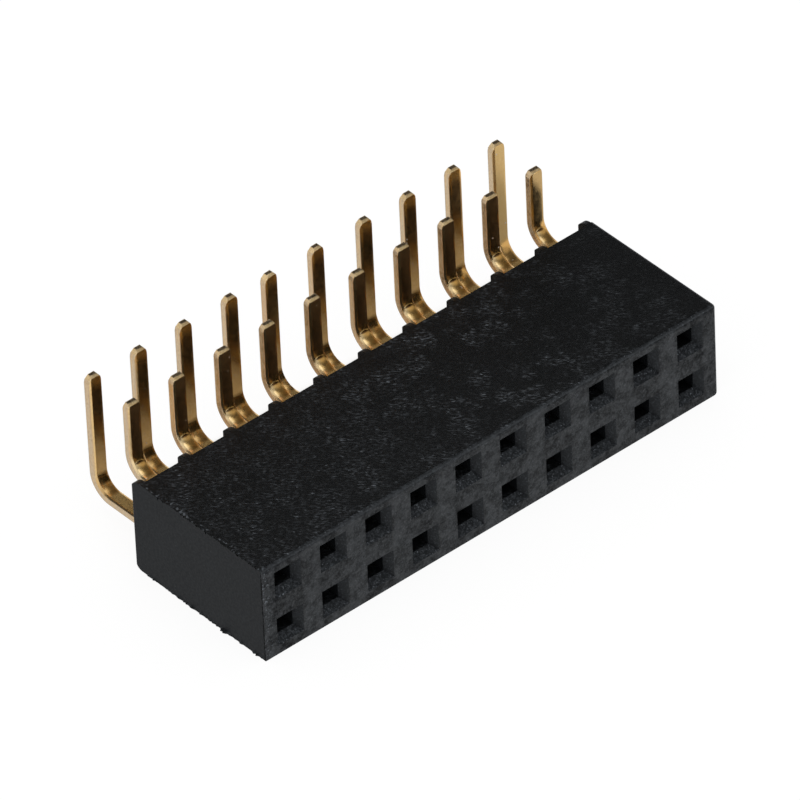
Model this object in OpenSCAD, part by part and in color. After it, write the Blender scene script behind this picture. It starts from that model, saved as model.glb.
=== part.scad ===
// Right-angle board-to-board socket: two rows of ten square post entries in one moulded housing,
// with twenty stamped fork contacts whose solder tails are bent up behind it.
// Millimetres. X runs along the rows, Y from the mating face back to the tails, Z is up.
// The origin is the centre of the flat face that the housing lies on.

/* [Grid] */
// Distance from one column of contacts to the next
pitch = 2.54; // [2.4:0.02:2.8]
// Distance between the upper and the lower row of post entries
row_pitch = 2.54; // [2.4:0.02:2.8]

/* [Housing] */
// Depth of the housing, from the mating face to the ends of the rear ribs
body_d = 8.55; // [8:0.05:10]
// Height of the housing, from the face it lies on to the face that meets the board
body_h = 4.95; // [4.8:0.05:6]
// Moulded right end wall outside the half-pitch line beyond the last column
end_wall = 0.3; // [0.2:0.01:0.6]
// Left end wall that the square cut leaves outside the half-pitch line
cut_wall = 0.16; // [0.15:0.01:0.6]
// Radius of the moulded upper edges and of the right end's upright front edge
edge_r = 0.2; // [0.08:0.01:0.26]
// Radius of the right end's lower edge
foot_r = 0.28; // [0.1:0.02:0.4]
// How far the outside of the right end wall stops short of the ends of the rear ribs
end_setback = 0.6; // [0.1:0.02:0.64]

/* [Rear ribs] */
// Thickness of the upright ribs between the columns
rib_w = 0.28; // [0.2:0.02:0.36]
// How far the ribs stand out behind the rear wall
rib_depth = 0.65; // [0.3:0.05:0.8]
// Radius of the ribs' upper rear corners
rib_top_r = 0.6; // [0.2:0.05:0.8]
// Radius of the ribs' lower rear corners
rib_r = 0.45; // [0.2:0.05:0.6]
// Share of a rib's thickness that each rounded upright rear edge takes
rib_round = 0.45; // [0.1:0.05:0.45]

/* [Post entries] */
// Width of the square mouth of the lead-in on the mating face
mouth_w = 1.48; // [1.2:0.02:1.8]
// Width of the square post hole behind the lead-in
entry_w = 0.86; // [0.76:0.02:1]
// Depth of the lead-in taper
lead_depth = 0.38; // [0.2:0.02:0.6]
// Thickness of the wall in front of the fork slots
front_wall = 1.3; // [1:0.05:1.6]

/* [Fork contact] */
// Thickness of the stamped strip
strip_t = 0.36; // [0.2:0.01:0.42]
// Outside width of the two tines
fork_w = 1.24; // [1.16:0.02:1.3]
// Width of the slit between the tines
slit_w = 0.7; // [0.66:0.02:0.76]
// Gap between the contact noses, less than a post so that the tines grip it
nose_gap = 0.46; // [0.4:0.02:0.56]
// Radius of the contact noses
nose_r = 0.45; // [0.36:0.03:0.6]
// Distance of the contact noses behind the tips of the tines
nose_back = 0.75; // [0.6:0.05:1]
// Chamfer on the outer corners of the tines' tips
tine_chamfer = 0.12; // [0.05:0.01:0.16]
// Length of the retention plate behind the slit
plate_len = 1.7; // [1.4:0.1:2]
// Width of the retention plate between its barbs
plate_w = 1.34; // [1.3:0.02:1.4]
// Length of a barb along the plate
barb_len = 0.45; // [0.3:0.05:0.6]
// Flat top of a barb, where it meets the slot's side
barb_flat = 0.12; // [0.06:0.02:0.2]
// Distance of the barbs from the ends of the plate
barb_inset = 0.2; // [0.1:0.05:0.3]
// Width of the shoulders that stop the contact
shoulder_w = 1.74; // [1.6:0.02:1.9]
// Length of the shoulders
shoulder_len = 0.55; // [0.4:0.05:0.8]
// Depth of the shoulder seat in from the rear wall
seat_depth = 0.9; // [0.85:0.05:1.2]

/* [Solder tail] */
// Width of a tail
tail_w = 0.7; // [0.5:0.02:0.8]
// Width of the rolled edges along the face inside the bend
roll_w = 0.1; // [0.04:0.01:0.16]
// Depth of the rolled edges
roll_d = 0.05; // [0.02:0.01:0.08]
// Inside radius of the bend
bend_r = 0.82; // [0.5:0.02:1]
// Distance of the first row of tails behind the ribs
tail_back = 1.42; // [1.2:0.01:2]
// Distance between the two rows of tails
tail_row_pitch = 2.54; // [2.4:0.02:2.8]
// Height of the tips above the face that meets the board
tail_rise = 2.57; // [2:0.01:3.5]
// Height of the tapered tip of an upper contact's tail
upper_tip_h = 0.32; // [0.26:0.02:0.5]
// Width of the blunt end of an upper contact's tail
upper_tip_w = 0.46; // [0.2:0.02:0.48]
// Height of the tapered tip of a lower contact's tail
lower_tip_h = 0.4; // [0.26:0.02:0.5]
// Width of the blunt end of a lower contact's tail
lower_tip_w = 0.32; // [0.2:0.02:0.48]
// Share of the taper by which the tip's sides swell at half height
tip_swell = 0.12; // [0:0.02:0.2]
// Height of the tip's bevel on the face inside the bend
tip_bevel = 0.1; // [0.03:0.01:0.16]
// Share of the strip's thickness that this bevel takes
bevel_share = 0.28; // [0.1:0.02:0.4]
// Height of the slope on the back of the tip
tip_slope = 0.24; // [0.06:0.01:0.25]
// Share of the strip's thickness that this slope takes
slope_share = 0.2; // [0.1:0.02:0.5]

/* [Fits] */
// Clearance above and below the strip in its slot
slot_clear = 0.02; // [0.01:0.01:0.05]
// Room beside each tine for it to spread when a post goes in
tine_room = 0.11; // [0.09:0.01:0.14]
// Clearance at each side of the shoulders
shoulder_clear = 0.03; // [0.01:0.01:0.06]
// Clearance between the tines' tips and the front wall
tip_clear = 0.25; // [0.1:0.05:0.4]

/* [Hidden] */
$fn = 48;
// Overlap of cutters and of joined pieces
bite = 0.2;
columns = 10;
// How far each lower tail stands aside, in degrees about the upright axis
lower_aside = [0.25, 0, 0.3, -0.25, 3.6, 2.1, -0.5, -0.25, -1, -0.75];

x_left = -columns * pitch / 2 - cut_wall;
x_right = columns * pitch / 2 + end_wall;
y_front = -body_d / 2;
y_rear = body_d / 2;
core_d = body_d - rib_depth;
end_d = body_d - end_setback;
end_w = end_wall + rib_w / 2;
cut_rib_w = cut_wall + rib_w / 2;
rib_plan_d = rib_depth + max(rib_top_r, rib_r);
z_mid = body_h / 2;

slot_w = fork_w + 2 * tine_room;
slot_h = strip_t + 2 * slot_clear;
seat_w = shoulder_w + 2 * shoulder_clear;

// Places along the contact, measured back from the mating face
tine_tip_y = front_wall + tip_clear;
seat_y = core_d - seat_depth;
slit_end_y = seat_y - plate_len;
bend_mid_r = bend_r + strip_t / 2;
tail_start = seat_depth - shoulder_len + bite;

upper_tail_y = body_d + tail_back;
lower_tail_y = upper_tail_y + tail_row_pitch;
upper_z = z_mid + row_pitch / 2;
lower_z = z_mid - row_pitch / 2;

black = "#2a2b2d";
gold = "#c8a25c";

function column_x(k) = (k - (columns - 1) / 2) * pitch;
function two_digits(n) = str(n < 10 ? "0" : "", n);
upper_names = [for (k = [1:columns]) str("upper_contact_", two_digits(k))];
lower_names = [for (k = [1:columns]) str("lower_contact_", two_digits(k))];

// Rectangle of width w from y = 0 to y = d, with its two corners at y = d rounded
module round_far(w, d, r) {
    translate([-w / 2, 0])
        square([w, d - r]);
    translate([r - w / 2, 0])
        square([w - 2 * r, d]);
    for (s = [-1, 1])
        translate([s * (w / 2 - r), d - r])
            circle(r);
}

// What a corner loses when it is rounded about the origin
module corner_cut(r) {
    difference() {
        square(r + bite);
        circle(r);
    }
}

// Side outline of a rib, back from inside the block, with its rear corners rounded
module rib_outline() {
    difference() {
        square([rib_plan_d, body_h]);
        translate([rib_plan_d - rib_top_r, body_h - rib_top_r])
            corner_cut(rib_top_r);
        translate([rib_plan_d - rib_r, rib_r])
            mirror([0, 1, 0])
                corner_cut(rib_r);
    }
}

// Side outline of the housing, from the mating face back, with its upper front corner rounded
module side_outline(d) {
    square([d, body_h - edge_r]);
    translate([edge_r, 0])
        square([d - edge_r, body_h]);
    translate([edge_r, body_h - edge_r])
        circle(edge_r);
}

// Length of housing along X from x, of depth d
module bar(x, length, d) {
    translate([x, y_front, 0])
        rotate([90, 0, 90])
            linear_extrude(length)
                side_outline(d);
}

// Moulded right end with its upper edges, its upright front edge and the corner between them rounded
module moulded_end() {
    bar(x_right - end_w, end_w - edge_r, end_d);
    translate([x_right - edge_r, y_front + edge_r, 0]) {
        translate([-bite / 2, 0, 0])
            cube([edge_r + bite / 2, end_d - edge_r, body_h - edge_r]);
        cylinder(r = edge_r, h = body_h - edge_r);
        translate([0, 0, body_h - edge_r]) {
            sphere(edge_r);
            rotate([-90, 0, 0])
                cylinder(r = edge_r, h = end_d - edge_r);
        }
    }
}

// Upright rib centred on x, with its rear corners and its rear edges rounded
module rib(x, w) {
    translate([x, y_rear - rib_plan_d, 0])
        intersection() {
            translate([-w / 2, 0, 0])
                rotate([90, 0, 90])
                    linear_extrude(w)
                        rib_outline();
            linear_extrude(body_h)
                round_far(w, rib_plan_d, rib_round * rib_w);
        }
}

// Block before the entries are cut. The first rib is flush with the cut left end.
module block() {
    bar(x_left, x_right - end_w - x_left, core_d);
    moulded_end();
    rib(x_left + cut_rib_w / 2, cut_rib_w);
    for (k = [1:columns])
        rib((k - columns / 2) * pitch, rib_w);
}

// Strip outside the right end's rounded lower edge
module lower_edge_cut() {
    translate([x_right - foot_r, y_front - bite, foot_r])
        rotate([-90, 0, 0])
            linear_extrude(body_d + 2 * bite)
                corner_cut(foot_r);
}

// Wedge that narrows from the mouth to the post hole, and on past the mating face
module lead_wedge() {
    slope = (mouth_w - entry_w) / 2 / lead_depth;
    outer = mouth_w / 2 + bite * slope;
    inner = entry_w / 2;
    linear_extrude(2 * outer, center = true)
        polygon([[-outer, -bite], [outer, -bite], [inner, lead_depth], [-inner, lead_depth]]);
}

// Space for one post and its fork, measured back from the mating face on the post's axis
module cavity() {
    intersection() {
        lead_wedge();
        rotate([0, 90, 0])
            lead_wedge();
    }
    translate([-entry_w / 2, lead_depth - bite, -entry_w / 2])
        cube([entry_w, slit_end_y - lead_depth + bite, entry_w]);
    translate([-slot_w / 2, front_wall, -slot_h / 2])
        cube([slot_w, core_d - front_wall + bite, slot_h]);
    translate([-seat_w / 2, seat_y, -slot_h / 2])
        cube([seat_w, core_d - seat_y + bite, slot_h]);
}

module housing() {
    color(black)
        difference() {
            block();
            lower_edge_cut();
            for (k = [0:columns - 1], z = [lower_z, upper_z])
                translate([column_x(k), y_front, z])
                    cavity();
        }
}

// One barb on the plate's +X edge: a ramp toward the tines, a flat top and a square back
module barb(y) {
    polygon([
        [plate_w / 2 - bite, y],
        [plate_w / 2, y],
        [slot_w / 2, y + barb_len - barb_flat],
        [slot_w / 2, y + barb_len],
        [plate_w / 2 - bite, y + barb_len]
    ]);
}

// Half of the two tines, on the +X side: the tine with its contact nose and chamfered tip
module tine() {
    end = slit_end_y - slit_w / 2;
    intersection() {
        polygon([
            [0, tine_tip_y],
            [fork_w / 2 - tine_chamfer, tine_tip_y],
            [fork_w / 2, tine_tip_y + tine_chamfer],
            [fork_w / 2, end + bite],
            [0, end + bite]
        ]);
        union() {
            translate([slit_w / 2, tine_tip_y])
                square([fork_w / 2, end + bite - tine_tip_y]);
            translate([nose_gap / 2 + nose_r, tine_tip_y + nose_back])
                circle(nose_r);
        }
    }
}

// The flat blank from the tips of the tines to the end of the shoulders, seen from above
module blank() {
    slit_r = slit_w / 2;
    difference() {
        union() {
            translate([-fork_w / 2, slit_end_y - slit_r])
                square([fork_w, slit_r + bite]);
            translate([-plate_w / 2, slit_end_y])
                square([plate_w, plate_len + bite]);
        }
        translate([0, slit_end_y - slit_r])
            circle(slit_r);
    }
    for (s = [0, 1])
        mirror([s, 0]) {
            tine();
            barb(slit_end_y + barb_inset);
            barb(seat_y - barb_len - barb_inset);
        }
    translate([-shoulder_w / 2, seat_y])
        square([shoulder_w, shoulder_len]);
}

// Section of a tail: x runs out from the face inside the bend, whose edges are rolled, y across the tail
module tail_section() {
    half = tail_w / 2;
    polygon([
        [0, roll_w - half],
        [roll_d, -half],
        [strip_t, -half],
        [strip_t, half],
        [roll_d, half],
        [0, half - roll_w]
    ]);
}

// Front outline of a tip, which narrows to its blunt end and swells a little on the way
module tip_front(tip_h, tip_w) {
    base = tail_w / 2;
    end = tip_w / 2;
    middle = (base + end) / 2 + tip_swell * (tail_w - tip_w);
    polygon([
        [-base, 0],
        [base, 0],
        [middle, tip_h / 2],
        [end, tip_h],
        [-end, tip_h],
        [-middle, tip_h / 2]
    ]);
}

// Side outline of a tip, from the face inside the bend: a small bevel, the blunt end and the back's slope
module tip_side(tip_h) {
    polygon([
        [0, 0],
        [0, tip_h - tip_bevel],
        [bevel_share * strip_t, tip_h],
        [strip_t - slope_share * strip_t, tip_h],
        [strip_t, tip_h - tip_slope],
        [strip_t, 0]
    ]);
}

// Tapered tip of a tail, standing on z = 0 with the face inside the bend at y = 0
module tail_tip(tip_h, tip_w) {
    intersection() {
        rotate([0, 0, 90])
            linear_extrude(tip_h)
                tail_section();
        translate([0, strip_t, 0])
            rotate([90, 0, 0])
                linear_extrude(strip_t)
                    tip_front(tip_h, tip_w);
        rotate([90, 0, 90])
            linear_extrude(tail_w, center = true)
                tip_side(tip_h);
    }
}

// Tail behind the shoulders: straight back, round the bend and up to the tip.
// The rear wall is at y = 0 and the strip's middle at z = 0.
module tail(back, rise, tip_h, tip_w) {
    bend_y = back - bend_mid_r;
    face_y = back - strip_t / 2;
    translate([0, bend_y, strip_t / 2])
        rotate([0, 90, -90])
            linear_extrude(bend_y + tail_start)
                tail_section();
    translate([0, bend_y, bend_mid_r])
        rotate([0, 90, 0])
            rotate_extrude(angle = 90)
                translate([bend_r, 0])
                    tail_section();
    translate([0, face_y, bend_mid_r])
        rotate([0, 0, 90])
            linear_extrude(rise - tip_h - bend_mid_r)
                tail_section();
    translate([0, face_y, rise - tip_h])
        tail_tip(tip_h, tip_w);
}

// One whole contact on the axis of its post entry
module contact(k, z, tail_y, aside, tip_h, tip_w) {
    color(gold)
        translate([column_x(k), y_front, z]) {
            linear_extrude(strip_t, center = true)
                blank();
            translate([0, core_d, 0])
                rotate([0, 0, aside])
                    tail(tail_y - core_d, body_h + tail_rise - z, tip_h, tip_w);
        }
}

module upper_contact(k) {
    contact(k, upper_z, upper_tail_y, 0, upper_tip_h, upper_tip_w);
}

module lower_contact(k) {
    contact(k, lower_z, lower_tail_y, lower_aside[k], lower_tip_h, lower_tip_w);
}

housing();
for (k = [0:columns - 1])
    upper_contact(k);
for (k = [0:columns - 1])
    lower_contact(k);
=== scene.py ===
import math
import random
from types import SimpleNamespace

import bpy
from mathutils import Matrix, Vector


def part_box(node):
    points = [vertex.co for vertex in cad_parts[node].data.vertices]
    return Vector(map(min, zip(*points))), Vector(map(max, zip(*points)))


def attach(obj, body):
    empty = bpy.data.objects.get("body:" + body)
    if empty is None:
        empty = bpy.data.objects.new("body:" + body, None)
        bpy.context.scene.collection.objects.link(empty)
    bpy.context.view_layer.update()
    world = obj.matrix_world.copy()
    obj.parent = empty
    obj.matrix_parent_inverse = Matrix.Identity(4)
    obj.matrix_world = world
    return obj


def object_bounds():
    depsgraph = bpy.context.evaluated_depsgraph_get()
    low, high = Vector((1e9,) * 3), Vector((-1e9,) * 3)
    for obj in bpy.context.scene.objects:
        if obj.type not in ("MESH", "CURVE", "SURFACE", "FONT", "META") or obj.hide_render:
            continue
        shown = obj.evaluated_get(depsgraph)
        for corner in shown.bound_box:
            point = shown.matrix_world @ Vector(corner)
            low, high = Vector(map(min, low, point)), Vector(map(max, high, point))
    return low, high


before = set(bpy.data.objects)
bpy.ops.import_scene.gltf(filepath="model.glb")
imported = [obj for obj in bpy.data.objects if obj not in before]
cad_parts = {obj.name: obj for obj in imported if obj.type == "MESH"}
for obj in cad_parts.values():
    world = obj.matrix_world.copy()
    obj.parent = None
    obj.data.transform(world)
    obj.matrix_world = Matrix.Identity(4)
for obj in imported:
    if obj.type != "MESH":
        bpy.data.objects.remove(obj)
cad_lo, cad_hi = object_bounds()

MM = 0.001
PITCH = 2.54

scene = bpy.context.scene
scene.view_settings.view_transform = "Standard"

# Places on the part in millimetres, from the frame
HOUSING_LOW, HOUSING_HIGH = (corner / MM for corner in map(Vector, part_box("housing")))
LEFT, FRONT, BOTTOM = HOUSING_LOW
RIGHT, REAR, TOP = HOUSING_HIGH
TIP_TOP = cad_hi[2] / MM


# Camera: the viewing angle, distance and framing of the photograph, for an 800 x 800 image
AZIMUTH = math.radians(-39.4254)
ELEVATION = math.radians(39.5073)
ROLL = math.radians(-2.6760)
DISTANCE = 544.303 * MM
ASIDE = 3.9258 * MM
DOWN = -3.4983 * MM
FOCAL_PIXELS = 12753.337
IMAGE_PIXELS = 800
SENSOR = 36.0
CLIP_NEAR = 0.01
CLIP_FAR = 20.0
AIM = Vector((0.0, FRONT * MM, (BOTTOM + TOP) / 2 * MM))


def make_camera():
    back = Vector((
        math.sin(AZIMUTH) * math.cos(ELEVATION),
        -math.cos(AZIMUTH) * math.cos(ELEVATION),
        math.sin(ELEVATION),
    ))
    level = Vector((math.cos(AZIMUTH), math.sin(AZIMUTH), 0.0))
    upright = back.cross(level)
    right = level * math.cos(ROLL) + upright * math.sin(ROLL)
    up = upright * math.cos(ROLL) - level * math.sin(ROLL)
    data = bpy.data.cameras.new("camera")
    data.sensor_fit = "HORIZONTAL"
    data.sensor_width = SENSOR
    data.lens = FOCAL_PIXELS * SENSOR / IMAGE_PIXELS
    data.clip_start = CLIP_NEAR
    data.clip_end = CLIP_FAR
    camera = bpy.data.objects.new("camera", data)
    scene.collection.objects.link(camera)
    turn = Matrix((right, up, back)).transposed().to_4x4()
    place = AIM + back * DISTANCE - right * ASIDE - up * DOWN
    camera.matrix_world = Matrix.Translation(place) @ turn
    scene.camera = camera


class Graph:
    """A short way to write a node tree: each call adds a node or a few, and returns their output."""

    def __init__(self, tree):
        self.tree = tree

    def add(self, kind, **settings):
        made = self.tree.nodes.new(kind)
        for name, value in settings.items():
            setattr(made, name, value)
        return made

    def put(self, socket, value):
        """Link an output to a socket, or give the socket a plain value."""
        if isinstance(value, bpy.types.NodeSocket):
            self.tree.links.new(value, socket)
        else:
            socket.default_value = value

    def put_all(self, sockets, values):
        for socket, value in zip(sockets, values):
            self.put(socket, value)

    def math(self, operation, a, b=0.0):
        made = self.add("ShaderNodeMath", operation=operation)
        self.put_all(made.inputs, (a, b))
        return made.outputs[0]

    def chain(self, operation, values):
        """One operation over all the values in turn."""
        total = values[0]
        for value in values[1:]:
            total = self.math(operation, total, value)
        return total

    def sum(self, *values):
        return self.chain("ADD", values)

    def product(self, *values):
        return self.chain("MULTIPLY", values)

    def any_of(self, *values):
        """The largest of the values."""
        return self.chain("MAXIMUM", values)

    def rest(self, value):
        """1 less the value."""
        return self.math("SUBTRACT", 1.0, value)

    def layers(self, base, *marks):
        """A base value and, for each mark, the product of its mask and its strength on top of it."""
        return self.sum(base, *(self.product(*mark) for mark in marks))

    def vector(self, operation, a, b=None, scale=None):
        made = self.add("ShaderNodeVectorMath", operation=operation)
        self.put(made.inputs[0], a)
        if b is not None:
            self.put(made.inputs[1], b)
        if scale is not None:
            self.put(made.inputs["Scale"], scale)
        return made.outputs["Value"] if operation == "DOT_PRODUCT" else made.outputs[0]

    def parts(self, vector):
        made = self.add("ShaderNodeSeparateXYZ")
        self.put(made.inputs[0], vector)
        return made.outputs

    def join(self, x, y, z):
        made = self.add("ShaderNodeCombineXYZ")
        self.put_all(made.inputs, (x, y, z))
        return made.outputs[0]

    def ease(self, value, start, end, at_start=0.0, at_end=1.0):
        """A soft step: at_start up to where the value is start, and at_end from where it is end."""
        made = self.add("ShaderNodeMapRange", interpolation_type="SMOOTHSTEP")
        self.put_all(made.inputs, (value, start, end, at_start, at_end))
        return made.outputs[0]

    def past(self, value, place, half):
        """0 before a place and 1 past it, with a soft step of this half width."""
        return self.ease(value, place - half, place + half)

    def between(self, mask, at_0, at_1):
        """A value that goes softly from at_0, where the mask is 0, to at_1, where it is 1."""
        return self.ease(mask, 0.0, 1.0, at_0, at_1)

    def noise(self, vector, scale, detail=2.0, roughness=0.5):
        made = self.add("ShaderNodeTexNoise")
        self.put(made.inputs["Vector"], vector)
        self.put(made.inputs["Scale"], scale)
        self.put(made.inputs["Detail"], detail)
        self.put(made.inputs["Roughness"], roughness)
        return made.outputs["Fac"]

    def blend(self, factor, a, b):
        """A blend of two colours, which are inputs 6 and 7 of a Mix node, with output 2."""
        made = self.add("ShaderNodeMix", data_type="RGBA")
        self.put(made.inputs["Factor"], factor)
        self.put(made.inputs[6], a)
        self.put(made.inputs[7], b)
        return made.outputs[2]

    def paint(self, colour, *coats):
        """Coats laid over a colour one by one: each is a mask and the colour that shows there."""
        for mask, coat in coats:
            colour = self.blend(mask, colour, coat)
        return colour

    def tint(self, colour, brightness):
        """A colour times a brightness that varies over the surface."""
        return self.vector("SCALE", colour, scale=brightness)

    def bump(self, height, strength, distance):
        made = self.add("ShaderNodeBump")
        self.put(made.inputs["Height"], height)
        self.put(made.inputs["Strength"], strength)
        self.put(made.inputs["Distance"], distance)
        return made.outputs[0]


def seen_directly(graph):
    """1 for the rays that show a background: those of the camera, of mirrors and of glass."""
    path = graph.add("ShaderNodeLightPath").outputs
    return graph.any_of(path["Is Camera Ray"], path["Is Glossy Ray"], path["Is Transmission Ray"])


def new_material(name):
    material = bpy.data.materials.new(name)
    material.use_nodes = True
    graph = Graph(material.node_tree)
    return material, graph, material.node_tree.nodes["Principled BSDF"]


def millimetres(graph):
    """The place on the part in millimetres, in the frame of the CAD."""
    place = graph.add("ShaderNodeTexCoord").outputs["Object"]
    return graph.vector("SCALE", place, scale=1.0 / MM)


# Faces of the housing, as limits of one part of the unit normal: a mask is 0 at the first and 1 at
# the second. Facing is how far the normal points to the mating side. The mask of the lead-ins is 1
# within NEAR of their facing and 0 beyond FAR.
TOP_NZ = (0.6, 0.95)
UPWARD_NZ = (0.2, 0.6)
SAWN_NX = (-0.8, -0.95)
MATING_FACING = (0.8, 0.95)
LEAD_IN_FACING = 0.632
LEAD_IN_NEAR = 0.05
LEAD_IN_FAR = 0.15
EDGE_FACING_LOW = (0.1, 0.3)
EDGE_FACING_HIGH = (0.97, 0.85)
# Height of the rounded upper edge of the mating face, and the start of the lead-ins below it
EDGE_Z = (TOP - 0.3, TOP - 0.15)
LEAD_IN_Z = (TOP - 0.3, TOP - 0.35)

# Along the row, in millimetres: where the scuffs begin to lie in patches, where they thin out and the
# share that is left there, the strips between the columns that get a painted sheen, and the marks near
# both ends
WORN_X = (-6.0, 4.0)
HANDLED_X = (2.0, 10.0)
HANDLED_LEAST = 0.4
COLUMN_GAP_HALF = (0.62, 0.3)
END_CRUMBS_X = (LEFT + 0.4, LEFT + 0.1)
END_SPECKS_X = (LEFT + 0.6, LEFT + 0.25)
FIRST_COLUMN_X = (LEFT + PITCH, LEFT + 0.5)
FINAL_COLUMN_X = (RIGHT - PITCH, RIGHT - 0.5)

# Looks of the plastic, which is a little bluish in its own colour and in what it mirrors. The depth of
# its grain is in metres.
PLASTIC_TINT = (0.9, 1.0, 1.12)
PLASTIC_SHINE_TINT = (0.93, 1.0, 1.07, 1.0)
PLASTIC_PLAIN = 0.006
PLASTIC_SHINE = 0.5
PLASTIC_ROUGHNESS = (0.42, 0.56)
GRAIN_STRENGTH = 0.6
GRAIN_DEPTH = 0.02 * MM
SAWN_SMOOTHNESS = 0.85


def plastic_places(graph):
    """Where each face of the housing lies, and the marks that several faces share."""
    at = SimpleNamespace(place=millimetres(graph))
    at.x, at.y, at.z = graph.parts(at.place)
    nx, ny, nz = graph.parts(graph.add("ShaderNodeNewGeometry").outputs["Normal"])
    facing = graph.math("MULTIPLY", ny, -1.0)
    at.top = graph.ease(nz, *TOP_NZ)
    at.upward = graph.ease(nz, *UPWARD_NZ)
    at.front = graph.ease(facing, *MATING_FACING)
    at.sawn_end = graph.ease(nx, *SAWN_NX)
    at.lead_in = graph.product(
        graph.ease(facing, LEAD_IN_FACING - LEAD_IN_FAR, LEAD_IN_FACING - LEAD_IN_NEAR),
        graph.ease(facing, LEAD_IN_FACING + LEAD_IN_FAR, LEAD_IN_FACING + LEAD_IN_NEAR),
        graph.ease(at.z, *LEAD_IN_Z),
    )
    at.front_edge = graph.product(
        graph.ease(at.z, *EDGE_Z),
        graph.ease(facing, *EDGE_FACING_LOW),
        graph.ease(facing, *EDGE_FACING_HIGH),
    )
    at.column_gap = graph.ease(graph.math("PINGPONG", at.x, PITCH / 2), *COLUMN_GAP_HALF)
    at.grain = graph.noise(at.place, 8.0, detail=3.0, roughness=0.65)
    at.cloud = graph.noise(at.place, 0.9, detail=4.0, roughness=0.6)
    at.speck = graph.ease(graph.noise(at.place, 10.0), 0.64, 0.74)
    at.blotch = graph.ease(graph.noise(at.place, 1.6, detail=4.0, roughness=0.65), 0.38, 0.64)
    at.mottle = graph.ease(graph.noise(at.place, 6.0, detail=3.0, roughness=0.7), 0.4, 0.68)
    at.handled = graph.ease(at.x, *HANDLED_X, 1.0, HANDLED_LEAST)
    return at


# Scuffs of the upper face: their direction, how many lie in a millimetre along and across it, and
# how far and how often they bend
SCUFF_ALONG = (0.73, -0.68, 0.0)
SCUFF_ACROSS = (0.68, 0.73, 0.0)
SCUFFS_PER_MM_ALONG = 3.4
SCUFFS_PER_MM_ACROSS = 11.0
SCUFF_BEND = 0.45
SCUFF_BENDS_PER_MM = 0.9
# Two kinds of scuff: the limits of the noise that shows them, and a shift that makes them differ
DENSE_SCUFFS = (0.47, 0.7, 0.0)
SPARSE_SCUFFS = (0.61, 0.75, 9.0)


def scuffs(graph, place, from_noise, to_noise, shift):
    """Short pale strokes that lie along one direction of the upper face."""
    bend_noise = graph.noise(graph.vector("ADD", place, (shift, 0.0, 0.0)), SCUFF_BENDS_PER_MM)
    bent = graph.math("MULTIPLY", bend_noise, SCUFF_BEND)
    along = graph.math("MULTIPLY", graph.vector("DOT_PRODUCT", place, SCUFF_ALONG), SCUFFS_PER_MM_ALONG)
    turned = graph.math("ADD", graph.vector("DOT_PRODUCT", place, SCUFF_ACROSS), bent)
    across = graph.math("MULTIPLY", turned, SCUFFS_PER_MM_ACROSS)
    strokes = graph.noise(graph.join(along, across, shift), 1.0, roughness=0.6)
    return graph.ease(strokes, from_noise, to_noise)


# In the functions below, two numbers after a noise are the limits within which its mark fades in, and
# a layer's number is the share of white light that it sends back
def top_light(graph, at):
    """Upper face: dense short scuffs in patches, a few of them bright, and crumbs at the sawn end."""
    worn = graph.ease(at.x, *WORN_X)
    patch_start = graph.between(worn, 0.38, 0.46)
    patch_least = graph.between(worn, 0.14, 0.02)
    patch = graph.ease(at.cloud, patch_start, 0.64, patch_least, 1.0)
    dense = graph.product(scuffs(graph, at.place, *DENSE_SCUFFS), patch, at.handled)
    sparse = graph.product(scuffs(graph, at.place, *SPARSE_SCUFFS), patch, at.handled)
    crumbs = graph.product(
        graph.ease(at.x, *END_CRUMBS_X),
        graph.ease(graph.noise(at.place, 6.0), 0.58, 0.68),
    )
    return graph.layers(
        0.001,
        (graph.ease(at.grain, 0.5, 0.75), graph.between(worn, 0.014, 0.006)),
        (dense, graph.between(worn, 0.028, 0.052)),
        (sparse, graph.between(worn, 0.1, 0.14)),
        (at.speck, worn, 0.012),
        (crumbs, 0.06),
    )


def front_light(graph, at):
    """Mating face: blotches, a faint painted sheen on the strips between the columns, specks at the sawn
    edge.
    """
    fine = graph.ease(graph.noise(at.place, 13.0, roughness=0.6), 0.52, 0.74)
    edge_speck = graph.product(
        graph.ease(at.grain, 0.54, 0.7),
        graph.ease(at.x, *END_SPECKS_X),
    )
    return graph.layers(
        0.003,
        (at.column_gap, 0.002),
        (at.blotch, 0.006),
        (fine, 0.024),
        (at.speck, 0.03),
        (edge_speck, 0.11),
    )


def lead_in_light(graph, at):
    """Lead-ins: grainy and speckled, most of all on the slope that faces up."""
    crumbs = graph.ease(graph.noise(at.place, 11.0, detail=3.0, roughness=0.7), 0.52, 0.72)
    return graph.layers(
        graph.between(at.upward, 0.005, 0.009),
        (graph.ease(at.grain, 0.42, 0.7), graph.between(at.upward, 0.012, 0.018)),
        (crumbs, graph.between(at.upward, 0.03, 0.05)),
        (at.speck, graph.between(at.upward, 0.03, 0.1)),
    )


# The torn rim of the sawn end: tears in a millimetre along it, its height, and its soft edge
TEARS_PER_MM = 5.0
TEAR_HEIGHT = 0.24
TORN_Z = (TOP - 0.02, TOP + 0.03)
# The painted shade line along the front edge of the sawn end
EDGE_SHADE_Y = (FRONT + 0.12, FRONT + 0.04)


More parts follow.
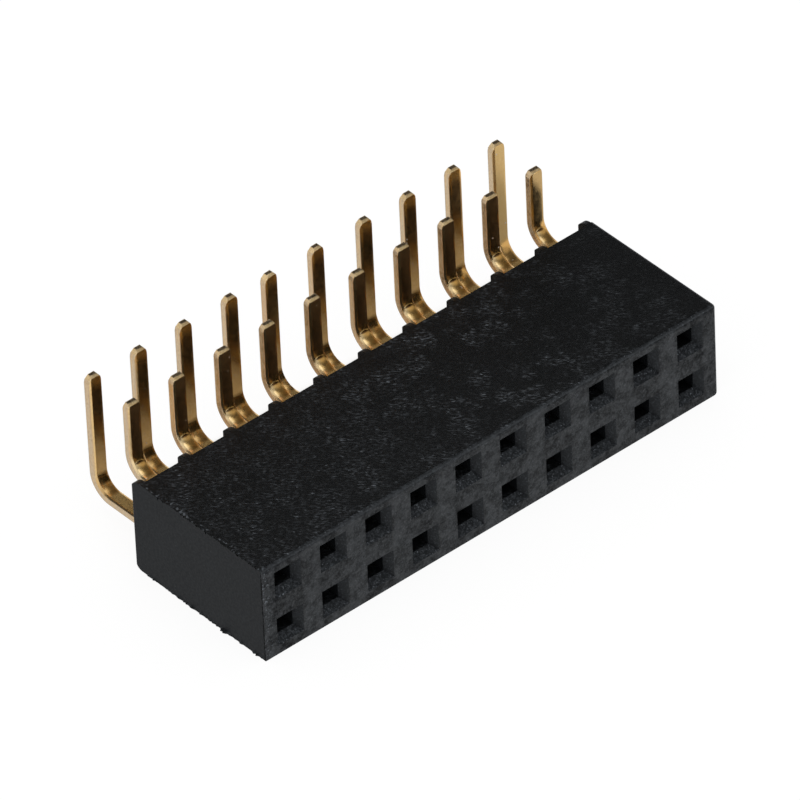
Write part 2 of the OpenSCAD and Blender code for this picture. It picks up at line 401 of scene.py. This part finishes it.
def sawn_rim_and_edge_shade(graph, at):
    """The sawn end's torn dark rim along its upper edge, and a painted shade line along its front edge."""
    along = graph.join(0.0, graph.math("MULTIPLY", at.y, TEARS_PER_MM), 0.0)
    tear = graph.noise(along, 1.0, detail=3.0, roughness=0.75)
    gaps = graph.noise(graph.join(7.0, at.y, 0.0), 1.0, detail=1.0)
    height = graph.product(
        graph.ease(tear, 0.42, 0.75, 0.0, TEAR_HEIGHT),
        graph.ease(gaps, 0.38, 0.62, 0.1, 1.0),
    )
    torn = graph.product(at.sawn_end, graph.ease(graph.math("ADD", at.z, height), *TORN_Z))
    line = graph.product(
        at.sawn_end,
        graph.ease(at.y, *EDGE_SHADE_Y),
        graph.ease(at.grain, 0.35, 0.6, 0.3, 0.9),
    )
    return graph.any_of(torn, line)


def plastic_light(graph, at):
    """How pale the plastic is on each of its faces."""
    end_light = graph.layers(0.009, (at.cloud, 0.004), (at.speck, 0.008))
    edge_light = graph.layers(0.004, (at.mottle, 0.014), (at.speck, 0.06))
    elsewhere = graph.rest(graph.any_of(at.top, at.front, at.lead_in, at.sawn_end))
    return graph.sum(
        graph.product(at.top, top_light(graph, at)),
        graph.product(at.front, front_light(graph, at)),
        graph.product(at.lead_in, lead_in_light(graph, at)),
        graph.product(at.sawn_end, end_light),
        graph.product(at.front_edge, edge_light),
        graph.product(elsewhere, PLASTIC_PLAIN),
    )


def plastic_shine(graph, at):
    """How much each face of the plastic mirrors: the sawn end hardly, the plain faces most."""
    front_shine = graph.layers(
        -0.42,
        (at.column_gap, 0.05),
        (at.blotch, 0.17),
        (at.mottle, 0.17),
        (graph.ease(at.x, *FIRST_COLUMN_X), -0.06),
        (graph.ease(at.x, *FINAL_COLUMN_X), -0.06),
    )
    return graph.layers(
        PLASTIC_SHINE,
        (at.front, front_shine),
        (at.top, graph.layers(-0.28, (at.handled, 0.12))),
        (at.lead_in, -0.28),
        (at.sawn_end, -0.43),
    )


def plastic_material():
    material, graph, shader = new_material("black_plastic")
    at = plastic_places(graph)
    # Light and shine are taken out on the sawn end's torn rim and on its painted shade line
    whole = graph.rest(sawn_rim_and_edge_shade(graph, at))
    light = graph.product(plastic_light(graph, at), whole)
    grain = graph.product(at.grain, graph.rest(graph.product(at.sawn_end, SAWN_SMOOTHNESS)))
    graph.put(shader.inputs["Base Color"], graph.tint(PLASTIC_TINT, light))
    graph.put(shader.inputs["Specular IOR Level"], graph.product(plastic_shine(graph, at), whole))
    shader.inputs["Specular Tint"].default_value = PLASTIC_SHINE_TINT
    graph.put(shader.inputs["Roughness"], graph.ease(at.grain, 0.3, 0.7, *PLASTIC_ROUGHNESS))
    graph.put(shader.inputs["Normal"], graph.bump(grain, GRAIN_STRENGTH, GRAIN_DEPTH))
    return material


# Places on the contacts, in millimetres. Aside is measured from the middle of a column.
UPPER_BENDS_Z = TOP - 1.75
OUTER_TAILS_Y = REAR + PITCH
LAST_COLUMN_X = 4.5 * PITCH - 1.0
PLACE_SOFTNESS = 0.2
TIP_Z = (TIP_TOP - 0.3, TIP_TOP - 0.2)
# Heights between which the outer tails' inner faces get painted shade midway up
MIDDLE_SHADE_FROM_Z = (TOP - 0.75, TOP - 0.05)
MIDDLE_SHADE_TO_Z = (TIP_TOP - 0.42, TIP_TOP - 0.92)
# Asides on the bends of their painted shade on the right and their painted highlight on the left
BEND_SHADE_ASIDE = (-0.12, 0.1)
BEND_HIGHLIGHT_ASIDE = (-0.08, -0.2)

# Radius in metres with which the shading rounds the edges of the strip
EDGE_ROUND = 0.06 * MM

# Painted shade of the bending tool's mark on each upper tail, and the arched lip above it, in millimetres:
# the height of the middle, then half the width and half the height
MARK_Z = TOP - 0.64
MARK_HALF = (0.18, 0.045)
LIP_Z = TOP - 0.55
LIP_HALF = (0.26, 0.03)
LIP_ARCH = 1.2

# How far the normal tilts to the right and up on the bends, on rolled edges and on the lip
CROWN_PER_MM = 1.1
LEFT_ROLL_TILT = -0.3
LAST_ROLL_TILT = -1.3
RIGHT_ROLL_TILT = -0.8
BEND_LIFT = -0.75
LIP_LIFT = 0.4

# Colours of the gold, from one end of its clouds to the other, and of its faces and wear, with a painted
# reflection tint on the inner faces and painted shade and painted highlight on faces and bends
GOLD_DEEP = (0.79, 0.515, 0.185, 1.0)
GOLD_PALE = (0.9, 0.6, 0.235, 1.0)
SHEARED = (0.47, 0.375, 0.27, 1.0)
SHEARED_SPECK = (0.36, 0.26, 0.15, 1.0)
STREAK = (0.64, 0.41, 0.17, 1.0)
GLINT = (0.95, 0.74, 0.42, 1.0)
INNER_REFLECTION_TINT = (0.84, 0.42, 0.17, 1.0)
MIDDLE_PAINTED_SHADE = (0.4, 0.2, 0.07, 1.0)
LAST_COLUMN_PAINTED_SHADE = (0.46, 0.31, 0.13, 1.0)
BEND_RIGHT_PAINTED_SHADE = (0.62, 0.32, 0.07, 1.0)
BEND_LEFT_PAINTED_HIGHLIGHT = (0.97, 0.78, 0.47, 1.0)
LOWER_BEND_PAINTED_SHADE = (0.56, 0.33, 0.11, 1.0)
DENT_PAINTED_SHADE = (0.2, 0.07, 0.02, 1.0)
NICK = (0.55, 0.46, 0.38, 1.0)
TIP_BEVEL = (0.68, 0.49, 0.25, 1.0)
TIP_END = (0.42, 0.31, 0.2, 1.0)
TIP_SPECK = (0.98, 0.78, 0.46, 1.0)

# Streaks in a millimetre across the strip and along it
STREAKS_ACROSS = 9.0
STREAKS_ALONG = 0.7
# How metallic the plate and its nicks are, what a stain takes from it, and the range of its roughness
METALLIC = 0.985
NICK_METALLIC = 0.3
STAIN = 0.16
POLISH = (0.16, 0.24)


def gold_places(graph):
    """Where the faces and marks of the contacts lie, by place, by the unit normal or by a noise."""
    at = SimpleNamespace(place=millimetres(graph))
    at.x, at.y, at.z = graph.parts(at.place)
    at.aside = graph.math("SUBTRACT", graph.math("FLOORED_MODULO", at.x, PITCH), PITCH / 2)
    bevel = graph.add("ShaderNodeBevel", samples=6)
    graph.put(bevel.inputs["Radius"], EDGE_ROUND)
    at.normal = bevel.outputs[0]
    at.nx, ny, at.nz = graph.parts(at.normal)
    at.inner = graph.ease(ny, 0.0, -0.15)
    at.bend = graph.product(at.inner, graph.ease(at.nz, 0.02, 0.4))
    at.pad = graph.product(at.inner, graph.ease(at.nz, 0.42, 0.55))
    at.left_roll = graph.product(graph.ease(at.nx, -0.1, -0.3), graph.ease(ny, -0.2, -0.5))
    at.right_roll = graph.product(graph.ease(at.nx, 0.08, 0.25), at.inner)
    at.sheared = graph.ease(at.nx, -0.3, -0.6)
    at.lying = graph.ease(graph.math("ABSOLUTE", at.nz), 0.6, 0.8)
    at.tip = graph.product(graph.ease(at.nz, 0.4, 0.65), graph.ease(at.z, *TIP_Z))
    at.upper = graph.past(at.z, UPPER_BENDS_Z, PLACE_SOFTNESS)
    at.outer = graph.past(at.y, OUTER_TAILS_Y, PLACE_SOFTNESS)
    at.last = graph.past(at.x, LAST_COLUMN_X, PLACE_SOFTNESS)
    at.speckle = graph.ease(graph.noise(at.place, 13.0, roughness=0.6), 0.45, 0.65)
    at.nick = graph.product(at.inner, graph.ease(graph.noise(at.place, 4.5), 0.72, 0.76))
    return at


def oval(graph, across, up, halves):
    """1 inside a soft-edged oval of this half width and half height, 0 outside it."""
    wide = graph.math("DIVIDE", across, halves[0])
    tall = graph.math("DIVIDE", up, halves[1])
    return graph.ease(graph.sum(graph.product(wide, wide), graph.product(tall, tall)), 1.3, 0.6)


def tool_mark(graph, at):
    """The short oval across each upper tail, at the bending tool's mark, that gets painted shade."""
    return graph.product(at.bend, oval(graph, at.aside, graph.math("SUBTRACT", at.z, MARK_Z), MARK_HALF))


def tool_lip(graph, at):
    """The thin arched lip above the tool's mark."""
    arch = graph.sum(at.z, graph.product(at.aside, at.aside, LIP_ARCH))
    return graph.product(at.bend, oval(graph, at.aside, graph.math("SUBTRACT", arch, LIP_Z), LIP_HALF))


def gold_normal(graph, at):
    """Faces that stay upright down to the tool's mark, crowned bends below it, and rolled edges."""
    tilt = graph.sum(
        graph.product(at.aside, CROWN_PER_MM, at.bend),
        graph.product(at.left_roll, graph.between(at.last, LEFT_ROLL_TILT, LAST_ROLL_TILT)),
        graph.product(at.right_roll, at.nx, RIGHT_ROLL_TILT),
    )
    lift = graph.sum(
        graph.product(at.bend, at.upper, graph.rest(at.pad), at.nz, BEND_LIFT),
        graph.product(tool_lip(graph, at), LIP_LIFT),
    )
    return graph.vector("NORMALIZE", graph.vector("ADD", at.normal, graph.join(tilt, 0.0, lift)))


def strip_colour(graph, at):
    """The plated strip: clouds, dull speckled sides, streaks along it and a few glints."""
    cloud = graph.noise(at.place, 1.5, detail=3.0, roughness=0.55)
    follow = graph.join(
        STREAKS_ACROSS,
        graph.between(at.lying, STREAKS_ACROSS, STREAKS_ALONG),
        graph.between(at.lying, STREAKS_ALONG, STREAKS_ACROSS),
    )
    streak = graph.noise(graph.vector("MULTIPLY", at.place, follow), 1.0, roughness=0.6)
    glint = graph.product(
        graph.ease(graph.noise(at.place, 11.0), 0.5, 0.7, 0.0, 0.4),
        graph.rest(at.bend),
        graph.rest(at.lying),
        graph.rest(graph.product(at.sheared, 0.7)),
    )
    return graph.paint(
        graph.blend(cloud, GOLD_DEEP, GOLD_PALE),
        (graph.product(at.sheared, 0.85), SHEARED),
        (graph.product(at.sheared, at.speckle, 0.6), SHEARED_SPECK),
        (graph.ease(streak, 0.46, 0.7, 0.0, 0.45), STREAK),
        (glint, GLINT),
    )


def face_coats(graph, at):
    """Inner faces of the tails: a redder painted reflection tint, painted shade midway up the outer ones,
    and painted shade in the last column.
    """
    face = graph.product(at.inner, graph.rest(at.bend))
    but_last = graph.rest(graph.product(at.last, graph.between(at.outer, 0.5, 1.0)))
    flat = graph.product(face, graph.rest(at.left_roll), but_last)
    midway = graph.product(at.outer, graph.ease(at.z, *MIDDLE_SHADE_FROM_Z), graph.ease(at.z, *MIDDLE_SHADE_TO_Z))
    return (
        (graph.product(flat, graph.between(at.outer, 0.75, 0.15)), INNER_REFLECTION_TINT),
        (graph.product(flat, midway, 0.6), MIDDLE_PAINTED_SHADE),
        (graph.product(at.last, face, graph.between(at.outer, 0.9, 0.7)), LAST_COLUMN_PAINTED_SHADE),
    )


def bend_coats(graph, at):
    """Bends: painted shade on the right, painted highlight on the left, painted shade in the lower row and
    in the tool's mark.
    """
    return (
        (graph.product(at.bend, graph.ease(at.aside, *BEND_SHADE_ASIDE, 0.0, 0.7)), BEND_RIGHT_PAINTED_SHADE),
        (graph.product(at.bend, graph.ease(at.aside, *BEND_HIGHLIGHT_ASIDE, 0.0, 0.55)), BEND_LEFT_PAINTED_HIGHLIGHT),
        (graph.product(at.bend, graph.rest(at.upper), 0.7), LOWER_BEND_PAINTED_SHADE),
        (graph.product(tool_mark(graph, at), 0.7), DENT_PAINTED_SHADE),
    )


def tip_colour(graph, at):
    """Bevels and ends of the tips, where the cut shows bronze with a few gold specks."""
    bronze = graph.blend(graph.ease(at.nz, 0.8, 0.95), TIP_BEVEL, TIP_END)
    return graph.blend(graph.product(at.speckle, 0.6), bronze, TIP_SPECK)


def gold_metallic(graph, at):
    """All metal, apart from the nicks and a thin stain on the level runs."""
    stain = graph.product(graph.ease(at.nz, 0.985, 0.999), graph.rest(at.tip), STAIN)
    return graph.math("SUBTRACT", graph.between(at.nick, METALLIC, NICK_METALLIC), stain)


def gold_roughness(graph, at):
    """Polished in clouds, and duller on the tips, bends and level runs."""
    polish = graph.ease(graph.noise(at.place, 5.0, detail=3.0), 0.3, 0.7, *POLISH)
    level = graph.product(graph.ease(at.nz, 0.75, 0.95), graph.rest(at.tip))
    return graph.layers(polish, (at.tip, 0.08), (at.bend, 0.04), (level, 0.08))


def gold_material():
    material, graph, shader = new_material("gold_plate")
    at = gold_places(graph)
    colour = graph.paint(
        strip_colour(graph, at),
        *face_coats(graph, at),
        *bend_coats(graph, at),
        (at.nick, NICK),
        (at.tip, tip_colour(graph, at)),
    )
    graph.put(shader.inputs["Base Color"], colour)
    graph.put(shader.inputs["Metallic"], gold_metallic(graph, at))
    graph.put(shader.inputs["Roughness"], gold_roughness(graph, at))
    graph.put(shader.inputs["Normal"], gold_normal(graph, at))
    return material


# Half the side of the paper in metres, how much of it glows where it is seen, and how pale it is
FLOOR_HALF = 3.0
FLOOR_GLOW = 0.9
FLOOR_ALBEDO = 0.6
# How far the painted shadow patch reaches behind the part and to its right, and its soft edge, in
# millimetres
SHADE_BEHIND = 4.4
SHADE_BESIDE = 3.6
SHADE_EDGE = 1.0


def painted_shadow_patch(graph):
    """1 on the slanted patch of paper behind the part and to its right: a painted shadow shaped like the
    part's shade, where the paper is mid grey and does not glow, so that the real shadow also shows.
    """
    x, y, _ = graph.parts(millimetres(graph))
    slant = SHADE_BESIDE / SHADE_BEHIND
    from_right = graph.sum(x, -RIGHT, graph.product(graph.sum(y, -FRONT), -slant))
    from_left = graph.sum(x, -LEFT, graph.product(graph.sum(y, -REAR), -slant))
    return graph.product(
        graph.ease(from_left, 0.0, SHADE_EDGE),
        graph.ease(from_right, 0.0, -SHADE_EDGE),
        graph.ease(x, LEFT, LEFT + SHADE_EDGE),
        graph.ease(y, FRONT, FRONT + SHADE_EDGE),
        graph.ease(y, REAR + SHADE_BEHIND, REAR + SHADE_BEHIND - SHADE_EDGE),
        graph.ease(x, RIGHT + SHADE_BESIDE, RIGHT + SHADE_BESIDE - SHADE_EDGE),
    )


def paper_material():
    """Plain pale paper: white where it is seen in the open, and mid grey to what it lights and in the
    painted shadow patch.
    """
    material, graph, shader = new_material("floor_paper")
    material.node_tree.nodes.remove(shader)
    seen = graph.product(seen_directly(graph), graph.rest(painted_shadow_patch(graph)))
    paper = graph.add("ShaderNodeBsdfDiffuse")
    pale = graph.between(seen, FLOOR_ALBEDO, 1.0)
    graph.put(paper.inputs["Color"], graph.join(pale, pale, pale))
    glow = graph.add("ShaderNodeEmission")
    glow.inputs["Strength"].default_value = 1.0
    both = graph.add("ShaderNodeMixShader")
    graph.put_all(both.inputs, (graph.product(seen, FLOOR_GLOW), paper.outputs[0], glow.outputs[0]))
    output = material.node_tree.nodes["Material Output"]
    graph.put(output.inputs["Surface"], both.outputs[0])
    return material


def make_floor():
    mesh = bpy.data.meshes.new("floor")
    corners = [(-1, -1), (1, -1), (1, 1), (-1, 1)]
    mesh.from_pydata([(x * FLOOR_HALF, y * FLOOR_HALF, 0.0) for x, y in corners], [], [(0, 1, 2, 3)])
    mesh.materials.append(paper_material())
    floor = bpy.data.objects.new("floor", mesh)
    scene.collection.objects.link(floor)


# Strengths of the room: its light, and the walls and ceiling that show in mirrors and behind the part
ROOM_LIGHT = 0.92
HORIZON = 1.0
RIGHT_WALL = 0.4
FRONT_WALL = 0.64
FRONT_WALL_TOP = 0.16
CEILING_REAR = 0.04
CEILING_FRONT = 0.1
# Where they begin and end, as parts of the unit direction that looks at them
HORIZON_Z = (0.05, 0.2)
RIGHT_WALL_X = (0.5, 0.75)
FRONT_WALL_Y = (-0.35, -0.55)
FRONT_WALL_TOP_Z = (0.48, 0.75)
CEILING_Z = (0.2, 0.5)
CEILING_Y = (0.3, 0.0)


def room(graph):
    """What is seen of the room: white low down, greyer walls in front and to the right, a dark ceiling."""
    across, depth, height = graph.parts(graph.add("ShaderNodeTexCoord").outputs["Generated"])
    front = graph.ease(depth, *FRONT_WALL_Y)
    front_low = graph.ease(height, *HORIZON_Z, HORIZON, FRONT_WALL)
    front_wall = graph.ease(height, *FRONT_WALL_TOP_Z, front_low, FRONT_WALL_TOP)
    side_wall = graph.ease(across, *RIGHT_WALL_X, HORIZON, RIGHT_WALL)
    wall = graph.ease(height, *HORIZON_Z, HORIZON, side_wall)
    ceiling = graph.ease(depth, *CEILING_Y, CEILING_REAR, CEILING_FRONT)
    behind = graph.ease(height, *CEILING_Z, wall, ceiling)
    return graph.sum(graph.product(front, front_wall), graph.product(graph.rest(front), behind))


def make_world():
    """Even room light, and the room that is seen behind the part, in mirrors and through glass."""
    world = bpy.data.worlds.new("studio")
    scene.world = world
    world.use_nodes = True
    graph = Graph(world.node_tree)
    output = world.node_tree.nodes["World Output"]
    for made in list(world.node_tree.nodes):
        if made != output:
            world.node_tree.nodes.remove(made)
    background = graph.add("ShaderNodeBackground")
    background.inputs["Color"].default_value = (1.0, 1.0, 1.0, 1.0)
    strength = graph.between(seen_directly(graph), ROOM_LIGHT, room(graph))
    graph.put(background.inputs["Strength"], strength)
    graph.put(output.inputs["Surface"], background.outputs[0])


def softbox(name, direction, distance, size, radiance):
    """A square lamp that shines on the part from a direction. Distance and size are in metres."""
    data = bpy.data.lights.new(name, "AREA")
    data.shape = "SQUARE"
    data.size = size
    data.energy = radiance * math.pi * size * size
    lamp = bpy.data.objects.new(name, data)
    scene.collection.objects.link(lamp)
    towards = Vector(direction).normalized()
    lamp.location = towards * distance
    lamp.rotation_mode = "QUATERNION"
    lamp.rotation_quaternion = towards.to_track_quat("Z", "Y")


# The burr along the lower edge of the sawn end, in millimetres
BURR_SEED = 11
BURR_START = FRONT + 0.03
BURR_END = REAR - 0.75
BURR_STEP = 0.09
BURR_LEAST = 0.008
BURR_REACH = 0.1
BURR_HEIGHT = 0.13
BURR_BITE = 0.03
# Larger crumbs of the burr: share of the way from front to rear, half width, reach
CHIPS = ((0.34, 0.3, 0.13), (0.62, 0.25, 0.07), (0.73, 0.2, 0.06))


def burr_section(chance, share):
    """The five corners of the burr at a share of the way from its front to its rear."""
    length = BURR_END - BURR_START
    ragged = chance.random() ** 2
    reach = BURR_LEAST + BURR_REACH * ragged * chance.random()
    for place, half_width, extra in CHIPS:
        near = max(0.0, 1.0 - abs(share - place) * length / half_width)
        reach += extra * near * chance.uniform(0.6, 1.0)
    height = BURR_HEIGHT * chance.uniform(0.4, 1.0)
    y = BURR_START + length * share
    return [
        (LEFT + BURR_BITE, y, 0.0),
        (LEFT + BURR_BITE, y, height),
        (LEFT, y, height),
        (LEFT - reach, y, height * 0.35),
        (LEFT - reach * 0.8, y, 0.0),
    ]


def closed_skin(sections):
    """Corners in metres, and faces, of a skin over a row of sections, closed at both ends."""
    ring = len(sections[0])
    corners = [tuple(part * MM for part in corner) for section in sections for corner in section]
    faces = []
    for i in range(len(sections) - 1):
        for k in range(ring):
            a, b = i * ring + k, i * ring + (k + 1) % ring
            faces.append((a, b, b + ring, a + ring))
    faces.append(tuple(reversed(range(ring))))
    faces.append(tuple(range(len(corners) - ring, len(corners))))
    return corners, faces


def make_burr(material):
    """The thin ragged lip that the saw leaves along the lower edge of the left end."""
    chance = random.Random(BURR_SEED)
    steps = round((BURR_END - BURR_START) / BURR_STEP)
    corners, faces = closed_skin([burr_section(chance, i / steps) for i in range(steps + 1)])
    mesh = bpy.data.meshes.new("sawn_burr")
    mesh.from_pydata(corners, [], faces)
    mesh.validate()
    mesh.materials.append(material)
    burr = bpy.data.objects.new("sawn_burr", mesh)
    scene.collection.objects.link(burr)
    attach(burr, "root")


make_camera()
make_world()
make_floor()
softbox("softbox_above", direction=(-0.1, -0.25, 0.96), distance=0.8, size=0.6, radiance=1.25)
softbox("softbox_left", direction=(-0.8, -0.1, 0.6), distance=0.7, size=0.4, radiance=0.6)

plastic = plastic_material()
gold = gold_material()
for name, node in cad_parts.items():
    node.material_slots[0].material = plastic if name == "housing" else gold
make_burr(plastic)
